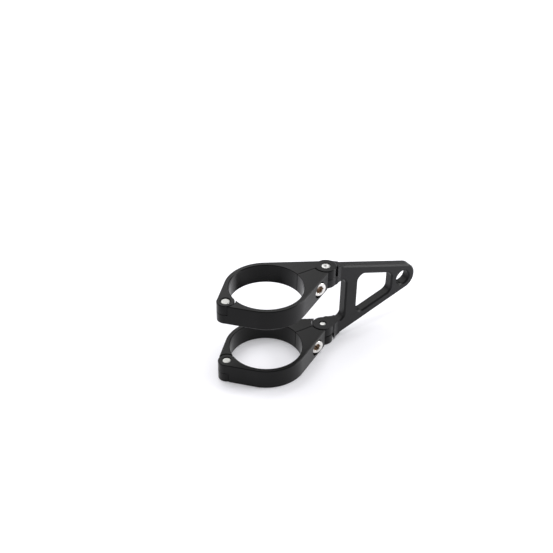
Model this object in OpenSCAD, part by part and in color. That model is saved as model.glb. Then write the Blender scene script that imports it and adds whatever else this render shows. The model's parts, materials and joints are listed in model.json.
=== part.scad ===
// Headlight mounting bracket for one fork leg of a motorcycle.
// Two split clamps grip the leg. Each has a jaw that hinges on a pin and closes with a cap screw,
// and an arm that carries the headlight swings between the two clamps on a pair of hinge screws.
// X points from the fork leg to the arm's hinge, Y to the fixed halves of the clamps, Z up the leg.
// The origin is on the leg's axis, in the lower face of the lower clamp. Sizes are in millimetres.

/* [Fork clamps] */
// Diameter of the fork leg
fork_d = 50; // [44:0.5:56]
// Wall of each clamp's ring
ring_wall = 3.4; // [3:0.1:5]
// Height of each clamp along the leg
clamp_h = 14.3; // [13:0.1:18]
// Height over both clamps
bracket_h = 63.6; // [58:0.1:90]
// Distance of the parting plane from the leg's axis
parting_y = 1.2; // [0:0.1:2]
// Gap between the two halves at the parting plane
parting_gap = 0.5; // [0.4:0.1:1]
// Chamfer round the clamps' outer edges
clamp_chamfer = 0.4; // [0.2:0.1:0.6]
// Chamfer at the ends of the bore
bore_chamfer = 0.4; // [0.2:0.1:0.8]

/* [Jaw hinges] */
// Distance of the jaw's pin outside the ring
jaw_pin_out = 2.6; // [2.4:0.1:4]
// Diameter of the dowel pin
jaw_pin_d = 6; // [5:0.5:6]
// Wall of the lugs round the pin
jaw_lug_wall = 3; // [2.5:0.1:4]
// Gap between a lug and the recess that it turns in
jaw_recess_gap = 0.6; // [0.5:0.1:1]
// Depth of the pin's ends below the clamp's faces
pin_sink = 0.3; // [0.1:0.1:0.6]

/* [Arm hinges] */
// Distance of the arm's hinge axis outside the ring
arm_hinge_out = 19; // [17:0.1:26]
// Wall of the hinge lugs round the shank of the hinge screw
hinge_lug_wall = 4.9; // [4:0.1:6]
// Gap between a hinge lug and the pocket round it
hinge_pocket_gap = 1; // [0.8:0.1:1.5]
// Half width of the fixed half's nose at the hinge axis
nose_r = 6; // [5.4:0.1:6.2]
// Half width of the jaw's nose at the hinge axis
jaw_nose_r = 5; // [4.6:0.1:6]
// Diameter of the hinge screw's shank and thread
hinge_screw_d = 5; // [4:0.5:5]
// Diameter of the hinge screw's head
hinge_head_d = 6; // [6:0.1:7]
// Height of the hinge screw's head
hinge_head_h = 2.4; // [2:0.1:3]
// Depth of the hinge screw's end below the lug's inner face
hinge_end_sink = 0.5; // [0.3:0.1:2]
// Gap between two lugs on one pin
lug_gap = 0.3; // [0.3:0.1:0.6]
// Radial clearance of pins and screws in their holes
running_fit = 0.05; // [0.03:0.01:0.09]

/* [Clamp screws] */
// Thread diameter of the cap screw
screw_d = 6; // [5:0.5:6]
// Length of the cap screw under its head
screw_length = 16; // [14:1:20]
// Diameter of the cap screw's head
screw_head_d = 10; // [8.5:0.5:10.5]
// Height of the cap screw's head
screw_head_h = 6; // [5:0.5:6]
// Distance of the screw outside the ring
screw_out = 5.2; // [5:0.1:6]
// Distance of the seat under the head from the leg's axis plane
screw_seat_y = 7.4; // [6:0.1:8]
// Radial clearance of the screw in the jaw
screw_hole_gap = 0.4; // [0.3:0.05:0.6]
// Radial clearance of the head in its counterbore
head_gap = 0.6; // [0.5:0.05:0.8]
// Depth of the threaded hole past the screw's end
thread_spare = 1.5; // [0.5:0.5:2]

/* [Arm] */
// Thickness of the arm
arm_t = 7.6; // [6:0.1:9]
// Distance of the headlight bolt's hole from the hinge axis
bolt_reach = 67; // [60:1:90]
// Diameter of the headlight bolt's hole
bolt_hole_d = 11; // [8:0.1:12]
// Wall round the headlight bolt's hole
tip_wall = 5.1; // [4:0.1:7]
// Chamfer round the arm's edges
arm_chamfer = 1; // [0.4:0.1:1.2]
// Distance of the knuckle gap's inner edge from the hinge axis
knuckle_gap_reach = 15.6; // [14:0.1:18]
// Corner radius of the knuckle gap
knuckle_gap_r = 4.5; // [3:0.5:6]
// Width of the upright bar between the knuckle gap and the window
upright_w = 10.4; // [8:0.1:12]
// Width of the sloping rims over and under the window
rim_w = 6.4; // [5:0.1:9]
// Width between the window and the headlight bolt's hole
window_end_w = 5.2; // [4:0.1:8]
// Corner radius of the window
window_r = 5; // [3:0.5:5.5]
// Depth of the arm's upper and lower corners inside the clamps' outer faces
root_drop = 0.5; // [0.3:0.1:2]
// Width of the arm's root, where it faces the clamps' hinge lugs
root_w = 11.6; // [10:0.2:12]
// Fillet between the root and the arm's faces
root_fillet = 10; // [4:0.5:14]

/* [Hidden] */

anodised = [0.15, 0.15, 0.16];
bright_steel = [0.78, 0.77, 0.75];

fork_r = fork_d/2;
ring_r = fork_r + ring_wall;
jaw_x = -(ring_r + jaw_pin_out);
jaw_lug_r = jaw_pin_d/2 + jaw_lug_wall;
jaw_recess_r = jaw_lug_r + jaw_recess_gap;
// The split outline ends just inside the lugs, so that each lug keeps its own round face
jaw_end_r = jaw_lug_r - 0.1;
hinge_x = ring_r + arm_hinge_out;
hinge_lug_r = hinge_screw_d/2 + hinge_lug_wall;
hinge_pocket_r = hinge_lug_r + hinge_pocket_gap;
screw_x = ring_r + screw_out;
// Height of the plane between two lugs of a clamp, over the clamp's inner face
lug_plane = clamp_h/2;
lug_h = lug_plane - lug_gap/2;
body_y = parting_y + parting_gap/2;
jaw_y = parting_y - parting_gap/2;

tip_r = bolt_hole_d/2 + tip_wall;
root_reach = hinge_lug_r*2/3;
// The root's corner stands on the rim of the pocket. Its fillet ends at root_end, just inside the face
root_sink = 0.1;
root_x = sqrt(hinge_pocket_r^2 - root_w^2/4);
root_end = root_x + sqrt(root_fillet^2 - (root_fillet - root_sink - (root_w - arm_t)/2)^2);
window_from = knuckle_gap_reach + upright_w;
window_to = bolt_reach - bolt_hole_d/2 - window_end_w;
mid_z = bracket_h/2;
root_z = mid_z - root_drop;

// Slope of the arm's upper edge, a line from the root's corner that touches the tip's circle
root_to_tip = bolt_reach - root_reach;
edge_slope = atan(root_z/root_to_tip) - asin(tip_r/sqrt(root_to_tip^2 + root_z^2));

// A size that cuts reach past the surface that they open
past = 1;

// A disc with both rims chamfered, standing on its lower face.
module chamfered_disc(r, h, c) {
    rotate_extrude($fn = 96)
        polygon([[0, 0], [r - c, 0], [r, c], [r, h - c], [r - c, h], [0, h]]);
}

// A hole from z0 to z1, whose rim at z1 is chamfered by c.
module countersunk_hole(r, z0, z1, c) {
    rotate_extrude($fn = 64)
        polygon([[0, z0], [r, z0], [r, z1 - c], [r + c + past, z1 + past], [0, z1 + past]]);
}

// The outer form of a clamp before it is split: ring, nose and jaw end in one convex outline.
module clamp_blank(nose) {
    hull() {
        chamfered_disc(ring_r, clamp_h, clamp_chamfer);
        translate([jaw_x, 0, 0]) chamfered_disc(jaw_end_r, clamp_h, clamp_chamfer);
        translate([hinge_x, 0, 0]) chamfered_disc(nose, clamp_h, clamp_chamfer);
    }
}

// The fork leg's bore, chamfered at both ends.
module fork_bore() {
    rotate_extrude($fn = 180)
        polygon([[0, -past], [fork_r + bore_chamfer + past, -past], [fork_r, bore_chamfer],
                 [fork_r, clamp_h - bore_chamfer], [fork_r + bore_chamfer + past, clamp_h + past],
                 [0, clamp_h + past]]);
}

// Half of the space, from the plane y upwards or downwards.
module y_above(y) translate([-2*hinge_x, y, -past]) cube([4*hinge_x, 2*hinge_x, clamp_h + 2*past]);
module y_below(y) translate([0, y, 0]) mirror([0, 1, 0]) translate([0, -y, 0]) y_above(y);

// A lug in a clamp's outer half, its free rim chamfered.
module outer_lug(x, r) {
    translate([x, 0, clamp_h - lug_h]) rotate_extrude($fn = 96)
        polygon([[0, 0], [r, 0], [r, lug_h - clamp_chamfer], [r - clamp_chamfer, lug_h], [0, lug_h]]);
}

// The fixed half of a clamp, with the outer lugs of both hinges and the clamp screw's thread.
module clamp_body() {
    color(anodised) difference() {
        union() {
            intersection() {
                clamp_blank(nose_r);
                y_above(body_y);
            }
            outer_lug(jaw_x, jaw_lug_r);
            outer_lug(hinge_x, hinge_lug_r);
        }
        fork_bore();
        translate([jaw_x, 0, -past]) cylinder(h = past + clamp_h - lug_h, r = jaw_recess_r, $fn = 96);
        translate([hinge_x, 0, -past]) cylinder(h = past + clamp_h - lug_h, r = hinge_pocket_r, $fn = 96);
        translate([jaw_x, 0, 0])
            countersunk_hole(jaw_pin_d/2 + running_fit, 0, clamp_h, pin_sink + clamp_chamfer);
        translate([hinge_x, 0, 0]) {
            cylinder(h = clamp_h + past, r = hinge_screw_d/2 + running_fit, $fn = 64);
            countersunk_hole(hinge_head_d/2 + running_fit, clamp_h - pin_sink - hinge_head_h, clamp_h, pin_sink);
        }
        translate([screw_x, 0, lug_plane]) rotate([-90, 0, 0])
            cylinder(h = screw_length - screw_seat_y + thread_spare, r = screw_d/2 + running_fit, $fn = 64);
    }
}

// The hinged half of a clamp, with the inner lug of its own hinge and the seat of the clamp screw.
module clamp_jaw() {
    color(anodised) difference() {
        union() {
            intersection() {
                clamp_blank(jaw_nose_r);
                y_below(jaw_y);
            }
            translate([jaw_x, 0, 0]) chamfered_disc(jaw_lug_r, lug_h, clamp_chamfer);
        }
        fork_bore();
        translate([jaw_x, 0, lug_h]) cylinder(h = clamp_h, r = jaw_recess_r, $fn = 96);
        translate([hinge_x, 0, -past]) cylinder(h = clamp_h + 2*past, r = hinge_pocket_r, $fn = 96);
        translate([jaw_x, 0, -past]) cylinder(h = clamp_h, r = jaw_pin_d/2 + running_fit, $fn = 64);
        translate([screw_x, 0, lug_plane]) rotate([90, 0, 0]) {
            translate([0, 0, -body_y]) cylinder(h = hinge_x, r = screw_d/2 + screw_hole_gap, $fn = 64);
            translate([0, 0, screw_seat_y]) cylinder(h = hinge_x, r = screw_head_d/2 + head_gap, $fn = 96);
        }
    }
}

// The dowel pin of a jaw's hinge, with chamfered ends.
module jaw_pin() {
    color(bright_steel) translate([jaw_x, 0, pin_sink])
        chamfered_disc(jaw_pin_d/2, clamp_h - 2*pin_sink, pin_sink);
}

// The screw of an arm's hinge: a low round head with a socket, and a shank that ends in the arm's lug.
module hinge_screw() {
    head_z = clamp_h - pin_sink;
    end_z = hinge_end_sink;
    socket_r = hinge_head_d/4;
    color(bright_steel) translate([hinge_x, 0, 0]) difference() {
        union() {
            rotate_extrude($fn = 96)
                polygon([[0, head_z - hinge_head_h + running_fit], [hinge_head_d/2, head_z - hinge_head_h + running_fit],
                         [hinge_head_d/2, head_z - pin_sink], [hinge_head_d/2 - pin_sink, head_z], [0, head_z]]);
            translate([0, 0, end_z]) chamfered_disc(hinge_screw_d/2, head_z - end_z - pin_sink, pin_sink);
        }
        translate([0, 0, head_z - hinge_head_h*0.6]) cylinder(h = hinge_head_h, r = socket_r, $fn = 6);
    }
}

// The cap screw that closes a clamp, with a hexagon socket in its head.
module clamp_screw() {
    edge = screw_head_h/10;
    socket_r = screw_head_d/4/cos(30);
    color(bright_steel) translate([screw_x, -screw_seat_y, lug_plane]) rotate([90, 0, 0]) difference() {
        union() {
            rotate_extrude($fn = 96)
                polygon([[0, 0], [screw_head_d/2, 0], [screw_head_d/2, screw_head_h - edge],
                         [screw_head_d/2 - edge, screw_head_h], [0, screw_head_h]]);
            translate([0, 0, -screw_length]) rotate_extrude($fn = 96)
                polygon([[0, 0], [screw_d/2 - edge, 0], [screw_d/2, edge], [screw_d/2, screw_length + edge],
                         [0, screw_length + edge]]);
        }
        translate([0, 0, screw_head_h/2]) cylinder(h = screw_head_h, r = socket_r, $fn = 6);
        translate([0, 0, screw_head_h - edge])
            cylinder(h = 2*edge, r1 = socket_r - edge/2, r2 = socket_r + edge*1.5, $fn = 48);
    }
}

// A flat shape in the arm's own plane, x along the arm and y up, made t thick about that plane.
module in_arm_plane(t) {
    translate([hinge_x, t/2, 0]) rotate([90, 0, 0]) linear_extrude(t) children();
}

// The arm's outline, drawn in by d on every side.
module arm_outline(d) {
    hull() {
        translate([bolt_reach, mid_z]) circle(r = tip_r - d, $fn = 80);
        translate([root_reach - past, root_drop + d]) square([past, bracket_h - 2*(root_drop + d)]);
    }
}

// The knuckle gap and the window, grown by d on every side.
module knuckle_gap_outline(d) {
    offset(r = knuckle_gap_r + d, $fn = 40) offset(delta = -knuckle_gap_r)
        translate([-hinge_pocket_r, clamp_h])
            square([knuckle_gap_reach + hinge_pocket_r, bracket_h - 2*clamp_h]);
}

module window_outline(d) {
    // Half height of the window at a distance s from the hinge axis
    half = function(s) root_z - (s - root_reach)*tan(edge_slope) - rim_w/cos(edge_slope);
    translate([0, mid_z]) offset(r = window_r + d, $fn = 40) offset(delta = -window_r)
        polygon([[window_from, -half(window_from)], [window_to, -half(window_to)],
                 [window_to, half(window_to)], [window_from, half(window_from)]]);
}

// The arm's plate with both its outer edges chamfered.
module arm_plate() {
    hull() {
        in_arm_plane(arm_t - 2*arm_chamfer) arm_outline(0);
        in_arm_plane(arm_t) arm_outline(arm_chamfer);
    }
}

// The knuckle gap and the window cut through, then flared at both faces for the chamfer.
module arm_openings() {
    skin = arm_chamfer/20;
    in_arm_plane(root_w + 2*past) {
        knuckle_gap_outline(0);
        window_outline(0);
    }
    for (side = [-1, 1]) {
        hull() for (rise = [-past, arm_chamfer + past])
            translate([0, side*(arm_t/2 - arm_chamfer + rise), 0]) in_arm_plane(skin) window_outline(rise);
        hull() for (rise = [-past, arm_chamfer + past])
            translate([0, side*(arm_t/2 - arm_chamfer + rise), 0]) in_arm_plane(skin) knuckle_flare(rise);
    }
}

// The part of the knuckle gap beside the upright bar, which has chamfered edges.
module knuckle_flare(d) {
    intersection() {
        knuckle_gap_outline(d);
        translate([root_end, 0]) square([bolt_reach, bracket_h]);
    }
}

// The arm's root in plan, from the hinge axis to where its fillets run out into the arm's faces.
module root_outline() {
    difference() {
        translate([0, -root_w/2]) square([root_end, root_w]);
        for (side = [-1, 1])
            translate([root_end, side*(arm_t/2 - root_sink + root_fillet)]) circle(r = root_fillet, $fn = 96);
    }
}

// The arm's root over its whole height, which the knuckle gap parts into a lower and an upper one.
module arm_root() {
    rise = (root_end - root_reach)*tan(edge_slope) + root_drop;
    intersection() {
        translate([hinge_x, 0, 0]) linear_extrude(bracket_h) root_outline();
        in_arm_plane(root_w + 2*past)
            polygon([[0, root_drop], [root_reach, root_drop], [root_end, rise], [root_end, bracket_h - rise],
                     [root_reach, bracket_h - root_drop], [0, bracket_h - root_drop]]);
    }
}

// The pocket in the arm's end that clears a clamp's outer lug.
module arm_pocket() {
    translate([hinge_x, 0, -bracket_h]) cylinder(h = bracket_h + clamp_h - lug_h, r = hinge_pocket_r, $fn = 96);
}

module arm() {
    color(anodised) difference() {
        union() {
            difference() {
                union() {
                    arm_plate();
                    arm_root();
                }
                arm_openings();
                arm_pocket();
                translate([0, 0, bracket_h]) mirror([0, 0, 1]) arm_pocket();
            }
            for (z = [clamp_h - lug_h, bracket_h - clamp_h])
                translate([hinge_x, 0, z]) chamfered_disc(hinge_lug_r, lug_h, clamp_chamfer);
        }
        translate([hinge_x, 0, -past]) cylinder(h = bracket_h + 2*past, r = hinge_screw_d/2 + running_fit, $fn = 64);
        translate([hinge_x + bolt_reach, 0, mid_z]) rotate([90, 0, 0]) {
            cylinder(h = arm_t + 2*past, r = bolt_hole_d/2, center = true, $fn = 96);
            for (side = [0, 1]) mirror([0, 0, side])
                countersunk_hole(bolt_hole_d/2, 0, arm_t/2, arm_chamfer);
        }
    }
}

// The upper clamp has its outer face up, and the lower clamp is its mirror image.
module at_upper() translate([0, 0, bracket_h - clamp_h]) children();
module at_lower() translate([0, 0, clamp_h]) mirror([0, 0, 1]) children();

at_lower() clamp_body();  // lower_clamp_body
at_lower() clamp_jaw();  // lower_clamp_jaw
at_upper() clamp_body();  // upper_clamp_body
at_upper() clamp_jaw();  // upper_clamp_jaw
arm();
at_lower() jaw_pin();  // lower_jaw_pin
at_upper() jaw_pin();  // upper_jaw_pin
at_lower() hinge_screw();  // lower_hinge_screw
at_upper() hinge_screw();  // upper_hinge_screw
at_lower() clamp_screw();  // lower_clamp_screw
at_upper() clamp_screw();  // upper_clamp_screw
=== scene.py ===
# %% [markdown]
# # A headlight mounting bracket
#
# This lesson dresses a machined bracket that clamps round a motorcycle's fork leg. The model of
# its parts comes in as a fixed frame, in metres, and nothing here moves them. What is added is
# what a maker's eye looks for: softened edges, screw threads, sockets, and finishes that catch
# the light.

# %% Load the frame
import json
import math

import bmesh
import bpy
import numpy as np
from mathutils import Matrix, Vector


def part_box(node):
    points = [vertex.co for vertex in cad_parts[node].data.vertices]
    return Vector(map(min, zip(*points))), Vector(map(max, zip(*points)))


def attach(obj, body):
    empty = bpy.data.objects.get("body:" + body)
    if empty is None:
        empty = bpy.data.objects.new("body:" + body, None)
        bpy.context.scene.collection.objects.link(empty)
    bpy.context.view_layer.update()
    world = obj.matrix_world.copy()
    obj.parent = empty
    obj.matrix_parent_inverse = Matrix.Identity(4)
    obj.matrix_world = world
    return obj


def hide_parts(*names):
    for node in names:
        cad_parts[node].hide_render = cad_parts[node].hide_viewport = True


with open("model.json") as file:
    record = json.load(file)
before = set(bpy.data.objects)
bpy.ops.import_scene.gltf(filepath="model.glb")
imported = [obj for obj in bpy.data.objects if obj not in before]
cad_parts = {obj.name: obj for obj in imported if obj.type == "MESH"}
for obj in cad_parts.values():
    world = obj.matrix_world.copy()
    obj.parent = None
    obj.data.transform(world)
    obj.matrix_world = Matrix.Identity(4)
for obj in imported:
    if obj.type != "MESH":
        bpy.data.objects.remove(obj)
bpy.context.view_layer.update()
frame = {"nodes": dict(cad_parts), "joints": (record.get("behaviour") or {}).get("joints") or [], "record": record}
MM = 0.001
LEVELS = ("lower", "upper")

# %% [markdown]
# The joints of the frame say where the arm's hinge stands, and its mounts say how wide the bores
# are, so no measure is typed in twice. The boxes of the pins and screws give their lengths and
# head sizes in the same way, each where it is made.

# %% Read the hinge and the bores
joints = {joint["name"]: joint for joint in frame["joints"]}
mounts = {mount["name"]: mount for mount in frame["record"]["mounts"]}
HINGE_X = joints["arm_swing"]["pos_m"][0]
BORE_RADIUS = mounts["lower_fork_clamp"]["dims"]["r_mm"] * MM
print(f"hinge axis at x {HINGE_X:.4f}, bore radius {BORE_RADIUS:.4f}")

# %% [markdown]
# ## The camera
#
# The camera looks down at about 35 degrees from the side of the jaws. Its focal length is written
# in pixels of a 553 pixel picture, because perspective is judged there, and it is turned into the
# millimetres of a 36 mm sensor. Its place is given from the arm's hinge axis, which stands well
# inside the picture: the hinge is so much to the right of the camera and so much ahead, and the
# floor is so far below.

# %% Place the camera
PICTURE = 553
FOCAL_PIXELS = 944.3
SENSOR = 36
PITCH = math.radians(34.88)
ROLL = math.radians(0.93)
HEADING = math.radians(32.62)
HINGE_RIGHT, HINGE_AHEAD, EYE_HEIGHT = 33.48 * MM, 530.6 * MM, 423.7 * MM


def put(name, data):
    """Make an object of a camera, a mesh or a lamp, and link it to the scene."""
    item = bpy.data.objects.new(name, data)
    bpy.context.scene.collection.objects.link(item)
    return item


def place_camera():
    """The level directions to the right and ahead are the bracket's x and y axes, turned
    clockwise by HEADING. Pitch tips the view down, and roll turns right and up about the view."""
    right = Vector((math.cos(HEADING), -math.sin(HEADING), 0))
    ahead = Vector((math.sin(HEADING), math.cos(HEADING), 0))
    view = ahead * math.cos(PITCH) - Vector((0, 0, math.sin(PITCH)))
    up = right.cross(view)
    side = right * math.cos(ROLL) + up * math.sin(ROLL)
    top = up * math.cos(ROLL) - right * math.sin(ROLL)
    eye = Vector((HINGE_X, 0, EYE_HEIGHT)) - right * HINGE_RIGHT - ahead * HINGE_AHEAD
    data = bpy.data.cameras.new("camera")
    data.sensor_width = SENSOR
    data.lens = SENSOR * FOCAL_PIXELS / PICTURE
    data.clip_start = 10 * MM
    camera = put("camera", data)
    turn = Matrix((side, top, -view)).transposed().to_4x4()
    camera.matrix_world = Matrix.Translation(eye) @ turn
    bpy.context.scene.camera = camera
    return camera


camera = place_camera()
print("camera at", tuple(round(value, 4) for value in camera.location))
print("lens", round(camera.data.lens, 2), "mm")

# %% [markdown]
# ## Shader maths that reads like maths
#
# A finish is a few masks and curves over the surface. Wiring those by hand hides the idea, so one
# small class wraps a socket and turns + - * into Math nodes, and one method adds any other node.


# %% A socket with arithmetic
class Field:
    """A value that varies over the surface: the output of a node, whose operators add nodes."""

    def __init__(self, shader, socket):
        self.shader, self.socket = shader, socket

    def math(self, operation, other=None, swapped=False):
        """A Math node that takes this value and, for two-sided operations, the other one."""
        pair = (other, self) if swapped else (self, other)
        values = {index: value for index, value in enumerate(pair) if value is not None}
        return self.shader.add("ShaderNodeMath", {"operation": operation}, values)

    def __add__(self, other): return self.math("ADD", other)
    def __radd__(self, other): return self.math("ADD", other, swapped=True)
    def __sub__(self, other): return self.math("SUBTRACT", other)
    def __rsub__(self, other): return self.math("SUBTRACT", other, swapped=True)
    def __mul__(self, other): return self.math("MULTIPLY", other)
    def __rmul__(self, other): return self.math("MULTIPLY", other, swapped=True)

    def sine(self):
        return self.math("SINE")

    def step(self, edge, soft):
        """0 below edge, 1 above edge + soft, and a smooth rise between."""
        limits = {"Value": self, "From Min": edge, "From Max": edge + soft}
        smooth = {"interpolation_type": "SMOOTHSTEP"}
        return self.shader.add("ShaderNodeMapRange", smooth, limits, "Result")


print("fields ready")

# %% [markdown]
# The nodes themselves belong to a material or to the sky, which both end in one surface node. A
# finish reads each point's place on the object, so a pattern sits on the metal and needs no
# unwrapping.


# %% The nodes of a finish
class Shader:
    """The nodes of a material or of the sky, which end in a surface node."""

    def __init__(self, owner, surface="Principled BSDF"):
        owner.use_nodes = True
        self.owner, self.tree = owner, owner.node_tree
        self.surface = self.tree.nodes[surface]

    def add(self, kind, settings, values, output=0):
        """A new node: its type, its settings, what its sockets take, and the output to use."""
        node = self.tree.nodes.new(kind)
        for key, value in settings.items():
            setattr(node, key, value)
        for key, value in values.items():
            self.feed(node.inputs[key], value)
        return Field(self, node.outputs[output])

    def feed(self, socket, value):
        """Link a field to a socket, or write a plain value into it."""
        if isinstance(value, Field):
            self.tree.links.new(value.socket, socket)
        else:
            socket.default_value = value

    def set(self, **sockets):
        """Feed the surface node: Base_Color stands for its socket Base Color."""
        for name, value in sockets.items():
            self.feed(self.surface.inputs[name.replace("_", " ")], value)

    def fed(self, name):
        """What a socket of the surface node takes already."""
        return Field(self, self.surface.inputs[name].links[0].from_socket)

    def point(self):
        """Each point's place on the object, in metres."""
        return self.add("ShaderNodeTexCoord", {}, {}, "Object")

    def axes(self):
        """The x, y and z of each point."""
        split = self.add("ShaderNodeSeparateXYZ", {}, {0: self.point()})
        return [Field(self, output) for output in split.socket.node.outputs]

    def distance(self, axis, centre=(0, 0, 0)):
        """Distance from a line along an axis (0, 1 or 2) through centre: the length of the
        difference once its part along the axis is dropped."""
        away = {index: field - centre[index]
                for index, field in enumerate(self.axes()) if index != axis}
        flat = self.add("ShaderNodeCombineXYZ", {}, away, "Vector")
        return self.add("ShaderNodeVectorMath", {"operation": "LENGTH"}, {0: flat}, "Value")

    def noise(self, scale, detail, stretch=(1, 1, 1)):
        """Cloudy noise, scale lumps to the metre, squeezed along each axis by stretch."""
        place = {"Vector": self.point(), "Scale": stretch}
        lumps = {"Vector": self.add("ShaderNodeMapping", {}, place, "Vector"),
                 "Scale": scale, "Detail": detail}
        return self.add("ShaderNodeTexNoise", {}, lumps, "Fac")

    def mix(self, factor, first, second):
        """A blend of two colours, which are inputs 6 and 7 and output 2 of the Mix node."""
        colours = {0: factor, 6: first, 7: second}
        return self.add("ShaderNodeMix", {"data_type": "RGBA"}, colours, 2)

    def bump(self, height, distance, strength):
        relief = {"Height": height, "Distance": distance, "Strength": strength}
        self.set(Normal=self.add("ShaderNodeBump", {}, relief, "Normal"))


print("shader helpers ready")

# %% [markdown]
# ## Black anodised aluminium
#
# Anodising turns the metal's own skin into a hard oxide and a dye colours it, so the surface
# reflects like a dark satin lacquer and not like bare metal. Before it, such parts are blasted
# with fine beads, which leaves a grain of a tenth of a millimetre or so. The cutter's marks still
# show faintly under it: level rings on the bore's wall, and soft streaks elsewhere.
#
# A photographed texture would need unwrapping and would stretch in the bores, so the marks are
# noise in the metal's own space. A low index of refraction keeps the level faces dark and lets a
# face shine only where light grazes it, as on the real oxide. The arm's skin is a shade paler and
# more matt than the clamps'.

# %% The anodised finish
BLAST_GRAIN, DYE_CLOUDS, CUTTER_STREAKS = 6500, 70, 900  # lumps to the metre
DARK_CLOUD, PALE_CLOUD = 0.8, 1.2
SATIN_SPREAD, WALL_POLISH = 0.07, 0.05
SKIN_RELIEF, SKIN_RELIEF_STRENGTH = 0.02 * MM, 0.55
CLAMP_DYE, CLAMP_SATIN, CLAMP_IOR = (0.0034, 0.0034, 0.0036), 0.22, 1.22
ARM_DYE, ARM_SATIN, ARM_IOR = (0.0072, 0.0072, 0.008), 0.33, 1.26


def rgb(red, green, blue):
    """An opaque colour."""
    return (red, green, blue, 1.0)


def tone(colour, share):
    """A colour whose three parts are multiplied by share."""
    return rgb(*(value * share for value in colour))


def bore_wall(shader):
    """1 within 0.2 mm of the bore's wall, fading to 0 at half a millimetre."""
    return 1 - shader.distance(2).step(BORE_RADIUS + 0.2 * MM, 0.3 * MM)


def anodised_black(name, dye, satin, ior, bored):
    """Grain is fine noise and the dye's clouds are coarse noise. The cutter's streaks are noise
    squeezed flat, so that they change mostly with height, and they count most on a bore's wall,
    which is also a little smoother."""
    shader = Shader(bpy.data.materials.new(name))
    grain = shader.noise(BLAST_GRAIN, 2.0)
    cloud = shader.noise(DYE_CLOUDS, 3.0)
    streaks = shader.noise(CUTTER_STREAKS, 2.0, stretch=(0.15, 0.15, 1.0))
    wall = bore_wall(shader) if bored else 0.0
    colour = shader.mix(cloud.step(0.35, 0.5), tone(dye, DARK_CLOUD), tone(dye, PALE_CLOUD))
    roughness = satin + grain * SATIN_SPREAD + cloud * SATIN_SPREAD - wall * WALL_POLISH
    shader.set(Base_Color=colour, Roughness=roughness, IOR=ior, Metallic=0.0)
    marks = grain * 0.5 + streaks * (0.35 + wall * 0.9)
    shader.bump(marks, SKIN_RELIEF, SKIN_RELIEF_STRENGTH)
    return shader.owner


clamp_finish = anodised_black("clamp_anodised_black", CLAMP_DYE, CLAMP_SATIN, CLAMP_IOR, True)
arm_finish = anodised_black("arm_anodised_black", ARM_DYE, ARM_SATIN, ARM_IOR, False)
print("anodised finishes:", clamp_finish.name, arm_finish.name)

# %% [markdown]
# ## Bright steel
#
# The dowel pins are ground and the screws are turned. On their ends the tool leaves fine circles
# round the axis. They could be cut into the mesh, but they are far finer than its faces, so a
# bump carries them: a sine wave of the distance from the axis. The pins are the darkest steel,
# the pivots are brighter, and the cap screws are brightest and smoothest.
#
# The sockets of the cap screws hold a brown film of oil in two shades. A mask by distance from
# the axis and by depth paints it, so the rim round the socket stays bright.

# %% The steel finishes
TOOL_PITCH = 0.14 * MM
SHEEN_CLOUDS, GRINDING_LINES, OIL_SPOTS = 900, 2400, 1100  # lumps to the metre
DULL_CLOUD = 0.88
STEEL_RELIEF, STEEL_RELIEF_STRENGTH = 0.008 * MM, 0.6
DARK_OIL, PALE_OIL = rgb(0.16, 0.115, 0.08), rgb(0.56, 0.42, 0.31)
OIL_EDGE, OIL_COVER = 0.15 * MM, 0.75


def turned_steel(name, axis, centre, tint, roughness):
    """Bright metal with circles round a line along the axis through centre."""
    shader = Shader(bpy.data.materials.new(name))
    circles = (shader.distance(axis, centre) * (2 * math.pi / TOOL_PITCH)).sine()
    sheen = shader.noise(SHEEN_CLOUDS, 3.0)
    lines = shader.noise(GRINDING_LINES, 2.0, stretch=(1, 0.2, 1))
    colour = shader.mix(sheen.step(0.4, 0.35), tone(tint, DULL_CLOUD), rgb(*tint))
    shader.set(Base_Color=colour, Metallic=1.0, Roughness=roughness + sheen * 0.1 + lines * 0.06)
    shader.bump(circles * 0.45 + lines * 0.3, STEEL_RELIEF, STEEL_RELIEF_STRENGTH)
    return shader


def oil_in_socket(shader, distance, reach, depth, start, full):
    """Brown where the distance from the axis is under reach and the depth is past start. Both
    edges are soft: the brown fades out beyond reach and grows in from start to full."""
    inside = (1 - distance.step(reach, OIL_EDGE)) * depth.step(start, full - start)
    oil = shader.mix(shader.noise(OIL_SPOTS, 1.0).step(0.38, 0.2), DARK_OIL, PALE_OIL)
    colour = shader.mix(inside, shader.fed("Base Color"), oil)
    shader.set(Base_Color=colour, Metallic=1 - inside * OIL_COVER)


print("steel helpers ready")

# %% [markdown]
# ## Handing a piece over
#
# A dressed piece takes the place of the frame's plain node. It gets its finish, and it moves with
# the body of that node.


# %% Finish a piece
def finish_piece(piece, material, node, body):
    piece.data.materials.clear()
    piece.data.materials.append(material)
    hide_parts(node)
    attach(piece, body)
    print(f"{piece.name}: {len(piece.data.polygons)} faces on {body}")


print("ready to hand pieces over")

# %% [markdown]
# ## Softened edges on the machined pieces
#
# A cutter's edge is never a perfect corner: it is broken by a few tenths of a millimetre, and
# that thin facet is what glints. A shader can fake it, but then the outline stays sharp, so the
# edges are cut in the mesh. Each machined piece is a welded copy of its node, so that neighbours
# share their corners. Flat regions are joined into single faces, and a Bevel modifier then rounds
# every edge sharper than a limit. Smooth shading alone would now tip the shading of the flats
# towards those roundings, so a Weighted Normal modifier lets the large faces decide: flats stay
# flat.

# %% Weld and bevel
WELD = 0.002 * MM
SAME_PLANE = math.radians(0.6)
BROKEN_EDGE = math.radians(24)
CLAMP_EDGE, ARM_EDGE = 0.16 * MM, 0.2 * MM


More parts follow.
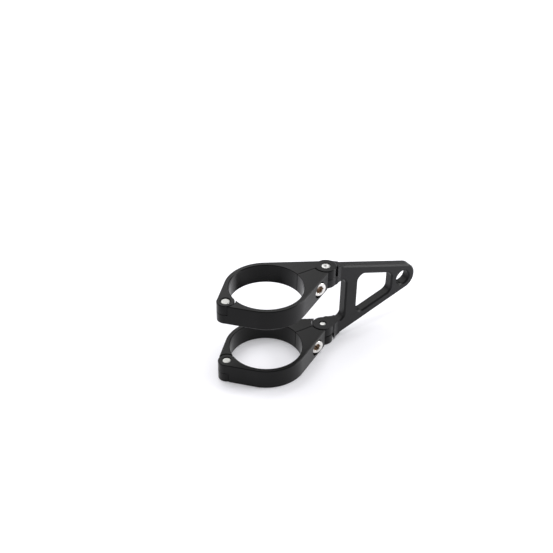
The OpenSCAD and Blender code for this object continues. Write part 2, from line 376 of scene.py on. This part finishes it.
def welded_copy(node, name):
    """The node's mesh with its doubles merged and its coplanar faces joined."""
    mesh = frame["nodes"][node].data.copy()
    mesh.name = name
    work = bmesh.new()
    work.from_mesh(mesh)
    bmesh.ops.remove_doubles(work, verts=work.verts, dist=WELD)
    bmesh.ops.dissolve_limit(work, angle_limit=SAME_PLANE, verts=work.verts, edges=work.edges)
    work.to_mesh(mesh)
    work.free()
    mesh.shade_smooth()
    return mesh


def machined_piece(node, name, body, finish, width):
    """Broken edges of the given width on a welded copy, in two facets each."""
    piece = put(name, welded_copy(node, name))
    bevel = piece.modifiers.new("broken_edges", "BEVEL")
    bevel.width = width
    bevel.segments = 2
    bevel.limit_method = "ANGLE"
    bevel.angle_limit = BROKEN_EDGE
    bevel.use_clamp_overlap = True
    flats = piece.modifiers.new("flats_stay_flat", "WEIGHTED_NORMAL")
    flats.mode = "FACE_AREA"
    flats.weight = 100
    finish_piece(piece, finish, node, body)


for level in LEVELS:
    machined_piece(f"{level}_clamp_body", f"{level}_fixed_half", f"{level}_clamp",
                   clamp_finish, CLAMP_EDGE)
    machined_piece(f"{level}_clamp_jaw", f"{level}_hinged_half", f"{level}_jaw",
                   clamp_finish, CLAMP_EDGE)
machined_piece("arm", "swing_arm", "arm", arm_finish, ARM_EDGE)

# %% [markdown]
# ## Turned pieces
#
# A pin or a screw is a stack of rings round one axis. Spinning a profile would give the round
# parts, but a hexagon socket, a knurl and a thread aren't round. So every ring is an array of
# radii by angle: one number where it is round, the outline of a hexagon in a socket, and a wave
# that follows the helix on a thread. One function closes the stack with a pole at each end.

# %% Radii by angle
AROUND = 240
ANGLE = np.linspace(0, 2 * math.pi, AROUND, endpoint=False)


def hexagon(flats):
    """Radius of a hexagon at each angle: half the width over flats, divided by the cosine of the
    angle from the nearest flat's middle."""
    return flats / 2 / np.cos(np.mod(ANGLE, math.pi / 3) - math.pi / 6)


def knurled(radius, teeth, depth):
    """A round wall whose radius dips by depth between the teeth: a cosine wave of the angle,
    squared so that the teeth are wider than the grooves."""
    return radius - depth * (0.5 - 0.5 * np.cos(ANGLE * teeth)) ** 2


def thread_rings(radius, pitch, depth, z_from, z_to, rows=10):
    """Rings down a thread. The crest follows z = pitch * turns, so the radius is a triangle wave
    of height over pitch minus the share of a turn. Crest and root are cut off by a tenth of the
    wave, and the thread fades in and out over one pitch at its ends."""
    cut = 0.1
    heights = np.linspace(z_from, z_to, int(abs(z_to - z_from) / pitch * rows) + 1)
    phase = np.mod(heights[:, None] / pitch - ANGLE[None] / (2 * math.pi), 1)
    wave = np.clip(np.abs(phase - 0.5) * (2 + 4 * cut) - cut, 0, 1)
    from_start = np.clip(np.abs(heights - z_from) / pitch, 0, 1)
    to_end = np.clip(np.abs(heights - z_to) / pitch, 0, 1)
    radii = radius - depth * wave * (to_end * from_start)[:, None]
    return list(zip(radii, heights))


print("rings of", AROUND, "points")

# %% [markdown]
# The stack is built along its own z axis and then brought to its place in the part: upright,
# upside down, or laid over by a quarter turn about x. Its volume tells which way the faces point,
# and where they point inwards the order of their corners is reversed.

# %% A stack of rings
UPRIGHT = np.eye(3)
UPSIDE_DOWN = np.diag([1, -1, -1])
LAID_OVER = np.array([[1, 0, 0], [0, 0, -1], [0, 1, 0]])
SHARP_EDGE = math.radians(32)


def signed_volume(points, quads, caps):
    """A sixth of the sum over triangles of a . (b x c): positive if the faces point outwards."""
    triangles = np.concatenate([quads[:, [0, 1, 2]], quads[:, [0, 2, 3]], caps])
    a, b, c = (points[triangles[:, corner]] for corner in range(3))
    return float(np.einsum("ij,ij->i", a, np.cross(b, c)).sum() / 6)


def ring_stack(name, rings, first_pole, last_pole, turn, origin):
    """Rings are (radius by angle, height) pairs, from the first pole to the last. A point is
    (radius * cos, radius * sin, height), turned and moved to origin. Each quad joins two
    neighbours on two rings, and triangles join the end rings to the poles."""
    radius = np.array([np.broadcast_to(ring[0], AROUND) for ring in rings])
    height = np.array([np.broadcast_to(ring[1], AROUND) for ring in rings])
    grid = np.stack([radius * np.cos(ANGLE), radius * np.sin(ANGLE), height], -1).reshape(-1, 3)
    poles = [[0, 0, first_pole], [0, 0, last_pole]]
    points = np.concatenate([grid, poles]) @ turn.T + np.array(origin)
    index = np.arange(len(grid)).reshape(len(rings), AROUND)
    beside = np.roll(index, -1, axis=1)
    quads = np.stack([index[:-1], beside[:-1], beside[1:], index[1:]], -1).reshape(-1, 4)
    first, last = np.full(AROUND, len(grid)), np.full(AROUND, len(grid) + 1)
    caps = np.concatenate([np.stack([first, beside[0], index[0]], -1),
                           np.stack([index[-1], beside[-1], last], -1)])
    if signed_volume(points, quads, caps) < 0:
        quads, caps = quads[:, ::-1], caps[:, ::-1]
    mesh = bpy.data.meshes.new(name)
    mesh.from_pydata(points, [], quads.tolist() + caps.tolist())
    mesh.shade_smooth()
    mesh.set_sharp_from_angle(angle=SHARP_EDGE)
    return put(name, mesh)


print("ring stack ready")

# %% [markdown]
# ## The dowel pins
#
# Each jaw turns on a ground pin whose ends are chamfered at a slant and very slightly crowned.
# The crown is a shallow arc, and it is what makes a flat end catch the light unevenly.

# %% Make the dowel pins
PIN_CHAMFER, PIN_CROWN = 0.4 * MM, 0.06 * MM
PIN_STEEL, PIN_ROUGHNESS = (0.42, 0.42, 0.405), 0.3


def dowel_pin(level):
    """Height over an end falls from the axis with the square of the distance. The other end is
    the same profile, mirrored."""
    low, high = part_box(f"{level}_jaw_pin")
    radius, length = (high.x - low.x) / 2, high.z - low.z
    centre = ((low.x + high.x) / 2, (low.y + high.y) / 2)
    face = radius - PIN_CHAMFER
    end = [(face * share, PIN_CROWN * share**2) for share in np.linspace(0.15, 1, 6)]
    end += [(radius - 0.5 * PIN_CHAMFER, PIN_CROWN + 0.3 * PIN_CHAMFER),
            (radius, PIN_CROWN + PIN_CHAMFER)]
    rings = end + [(r, length - z) for r, z in reversed(end)]
    piece = ring_stack(f"{level}_dowel_pin", rings, 0.0, length, UPRIGHT, (*centre, low.z))
    steel = turned_steel(f"{level}_ground_steel", 2, (*centre, 0), PIN_STEEL, PIN_ROUGHNESS)
    finish_piece(piece, steel.owner, f"{level}_jaw_pin", f"{level}_clamp")


for level in LEVELS:
    dowel_pin(level)

# %% [markdown]
# ## The hinge screws
#
# The arm swings on two small screws that mirror each other. The low head sits in the clamp's lug
# and has a shallow socket, the middle is a smooth journal, and the far end is threaded into the
# arm's lug, where its tip can be seen in the hole.

# %% Make the hinge screws
HINGE_HEAD_HEIGHT = 2.4 * MM
HINGE_SOCKET, HINGE_SOCKET_DEPTH = 1.6 * MM, 0.4 * MM
HINGE_THREAD, HINGE_PITCH, HINGE_THREAD_DEPTH = 5 * MM, 0.8 * MM, 0.45 * MM
HINGE_RIM, HINGE_EDGE = 0.12 * MM, 0.25 * MM
HINGE_STEEL, HINGE_ROUGHNESS = (0.58, 0.58, 0.57), 0.26


def hinge_rings(radius, length):
    """The profile from the socket's floor over the head and down to the tip at height 0."""
    shank, socket = HINGE_THREAD / 2, hexagon(HINGE_SOCKET)
    top, under = length, length - HINGE_HEAD_HEIGHT
    rim, edge = HINGE_RIM, HINGE_EDGE
    in_socket = [(0.6 * HINGE_SOCKET / 2, top - HINGE_SOCKET_DEPTH),
                 (socket, top - 0.8 * HINGE_SOCKET_DEPTH),
                 (socket, top - rim),
                 (HINGE_SOCKET * 0.66, top)]
    head = [(radius - edge, top),
            (radius - 0.3 * edge, top - 0.3 * edge),
            (radius, top - edge),
            (radius, under + rim),
            (radius - rim, under),
            (shank + rim, under)]
    journal = [(shank, under - rim),
               (shank, length / 2)]
    thread = thread_rings(shank, HINGE_PITCH, HINGE_THREAD_DEPTH, length / 2 - rim, 0.5 * MM)
    tip = [(shank - 0.1 * MM, 0.45 * MM),
           (shank - 0.45 * MM, 0.06 * MM),
           (shank - 0.55 * MM, 0.0),
           (shank * 0.4, 0.0)]
    return in_socket + head + journal + thread + tip


def hinge_screw(level):
    """The upper screw's head is at its high end, the lower one's at its low end."""
    low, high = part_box(f"{level}_hinge_screw")
    radius, length = (high.x - low.x) / 2, high.z - low.z
    turn, base = (UPRIGHT, low.z) if level == "upper" else (UPSIDE_DOWN, high.z)
    socket_pole = length - 1.1 * HINGE_SOCKET_DEPTH
    piece = ring_stack(f"{level}_hinge_pivot", hinge_rings(radius, length), socket_pole, 0.0,
                       turn, (HINGE_X, 0, base))
    steel = turned_steel(f"{level}_pivot_steel", 2, (HINGE_X, 0, 0), HINGE_STEEL, HINGE_ROUGHNESS)
    finish_piece(piece, steel.owner, f"{level}_hinge_screw", "arm")


for level in LEVELS:
    hinge_screw(level)

# %% [markdown]
# ## The cap screws
#
# A cap screw closes each clamp. From the bottom of its socket outwards the rings run: drilled
# cone, hexagon walls, chamfered mouth, flat rim, rounded edge, straight knurl down the head, the
# bearing face, and the thread to its tip. The head is as tall as the thread is thick, as on every
# such screw.

# %% Make the cap screws
CAP_THREAD, CAP_PITCH, CAP_THREAD_DEPTH = 6 * MM, 1.0 * MM, 0.6 * MM
CAP_HEAD_HEIGHT = CAP_THREAD
CAP_SOCKET, CAP_SOCKET_FLOOR = 5 * MM, CAP_HEAD_HEIGHT * 0.5
CAP_SOCKET_CORNER = CAP_SOCKET / 2 / math.cos(math.pi / 6)
CAP_EDGE = 0.6 * MM
CAP_TEETH, CAP_TOOTH_DEPTH = 48, 0.16 * MM
CAP_STEEL, CAP_ROUGHNESS = (0.64, 0.628, 0.61), 0.17


def cap_rings(radius, length):
    """The profile from the socket's floor over the head, whose seat is at height 0, and down to
    the tip. The rounded edge is a quarter circle of radius CAP_EDGE."""
    head, shank, socket = CAP_HEAD_HEIGHT, CAP_THREAD / 2, hexagon(CAP_SOCKET)
    edge, tip = CAP_EDGE, head - length
    knurl = knurled(radius, CAP_TEETH, CAP_TOOTH_DEPTH)
    in_socket = [(0.35 * CAP_SOCKET, CAP_SOCKET_FLOOR - 0.25 * MM),
                 (socket, CAP_SOCKET_FLOOR),
                 (socket, head - 0.35 * MM),
                 (CAP_SOCKET_CORNER + 0.12 * MM, head)]
    rounded = [(radius - edge + edge * math.sin(turn), head - edge + edge * math.cos(turn))
               for turn in np.linspace(0, math.pi / 2, 5)]
    side = [(radius - 0.02 * MM, head - edge - 0.25 * MM),
            (knurl, head - edge - 0.45 * MM),
            (knurl, 0.7 * MM),
            (radius - 0.04 * MM, 0.5 * MM),
            (radius - 0.1 * MM, 0.25 * MM)]
    seat = [(radius - 0.35 * MM, 0.0),
            (shank + 0.35 * MM, 0.0),
            (shank, -0.3 * MM)]
    thread = thread_rings(shank, CAP_PITCH, CAP_THREAD_DEPTH, -0.4 * MM, tip + 0.7 * MM)
    end = [(shank - 0.15 * MM, tip + 0.6 * MM),
           (shank - 0.7 * MM, tip),
           (shank * 0.4, tip)]
    return in_socket + rounded + side + seat + thread + end


def cap_screw(level):
    """The screw lies along y with its head at the low end."""
    low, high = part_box(f"{level}_clamp_screw")
    radius, length = (high.x - low.x) / 2, high.y - low.y
    x, z = (low.x + high.x) / 2, (low.z + high.z) / 2
    drilled_pole = CAP_SOCKET_FLOOR - 0.7 * MM
    piece = ring_stack(f"{level}_cap_screw", cap_rings(radius, length), drilled_pole,
                       CAP_HEAD_HEIGHT - length, LAID_OVER, (x, low.y + CAP_HEAD_HEIGHT, z))
    steel = turned_steel(f"{level}_screw_steel", 1, (x, 0, z), CAP_STEEL, CAP_ROUGHNESS)
    oil_in_socket(steel, steel.distance(1, (x, 0, z)), CAP_SOCKET_CORNER, steel.axes()[1],
                  low.y + 0.15 * MM, low.y + 0.6 * MM)
    finish_piece(piece, steel.owner, f"{level}_clamp_screw", f"{level}_screw")


for level in LEVELS:
    cap_screw(level)

# %% [markdown]
# ## Floor and backdrop
#
# A product picture on white needs a floor that the eye doesn't see and a shadow that it does. A
# brighter lamp would whiten the floor but would also grey the black metal. So the floor is plain
# matt white, a little blue, which takes the shadow, and a weak glow is added that only camera
# rays see, so that its open parts reach white. Reflections meet a stronger glow, which lights the
# flanks as a sheet of white paper does. The sky is full white to the camera and a softer grey to
# everything else.

# %% The floor and the sky
WHITE = rgb(1, 1, 1)
FLOOR_WHITE, FLOOR_HALF_WIDTH = rgb(0.85, 0.847, 0.885), 4.0
GLOW_TO_CAMERA, GLOW_IN_REFLECTIONS = 0.13, 0.5
SKY_LIGHT = 0.42


def ray(shader, kind):
    """1 for rays of one kind and 0 for all others."""
    return shader.add("ShaderNodeLightPath", {}, {}, kind)


def floor_material():
    """The sum of a matt surface and a glow whose strength depends on the kind of ray."""
    shader = Shader(bpy.data.materials.new("floor_white"))
    shader.set(Base_Color=FLOOR_WHITE, Roughness=0.9, Specular_IOR_Level=0.1)
    strength = (ray(shader, "Is Camera Ray") * GLOW_TO_CAMERA
                + ray(shader, "Is Glossy Ray") * GLOW_IN_REFLECTIONS)
    glow = shader.add("ShaderNodeEmission", {}, {"Color": WHITE, "Strength": strength})
    matt = Field(shader, shader.surface.outputs[0])
    both = shader.add("ShaderNodeAddShader", {}, {0: matt, 1: glow})
    shader.feed(shader.tree.nodes["Material Output"].inputs["Surface"], both)
    return shader.owner


def lay_floor():
    """One square at height 0, FLOOR_HALF_WIDTH each way from the origin."""
    mesh = bpy.data.meshes.new("floor")
    corners = np.array([[-1, -1, 0], [1, -1, 0], [1, 1, 0], [-1, 1, 0]]) * FLOOR_HALF_WIDTH
    mesh.from_pydata(corners, [], [[0, 1, 2, 3]])
    mesh.materials.append(floor_material())
    put("floor", mesh)


def hang_sky():
    """Strength 1 for camera rays and SKY_LIGHT for all others."""
    shader = Shader(bpy.data.worlds.new("sky"), "Background")
    level = {"Value": ray(shader, "Is Camera Ray"), "To Min": SKY_LIGHT, "To Max": 1.0}
    shader.set(Color=WHITE, Strength=shader.add("ShaderNodeMapRange", {}, level, "Result"))
    bpy.context.scene.world = shader.owner


lay_floor()
hang_sky()
print("floor and sky ready")

# %% [markdown]
# ## Light
#
# Black metal shows what it mirrors, so the lamps are wide soft boxes. A large panel above and
# behind, to the left, greys the level faces evenly. A small box on the right picks out the arm's
# top edge and the slanting flanks. A third one straight above lights the floor inside the bores.

# %% The lamps
CENTRE = (0.03, 0.0, 0.03)


def soft_box(name, place, target, size, watts):
    """A rectangular lamp at place, turned so that it shines at target."""
    data = bpy.data.lights.new(name, "AREA")
    data.shape = "RECTANGLE"
    data.size, data.size_y = size
    data.energy = watts
    lamp = put(name, data)
    lamp.location = place
    lamp.rotation_euler = (Vector(target) - Vector(place)).to_track_quat("-Z", "Y").to_euler()
    print(f"{name}: {watts} W at {place}")


soft_box("back_panel", (-0.1, 1.12, 1.0), CENTRE, size=(2.2, 1.6), watts=20.5)
soft_box("key_box", (0.95, -0.385, 0.49), CENTRE, size=(0.5, 0.5), watts=6.6)
soft_box("top_box", (0.0, 0.0, 1.4), (0.0, 0.0, 0.0), size=(0.4, 0.4), watts=5.6)
bpy.context.scene.view_settings.view_transform = "Standard"
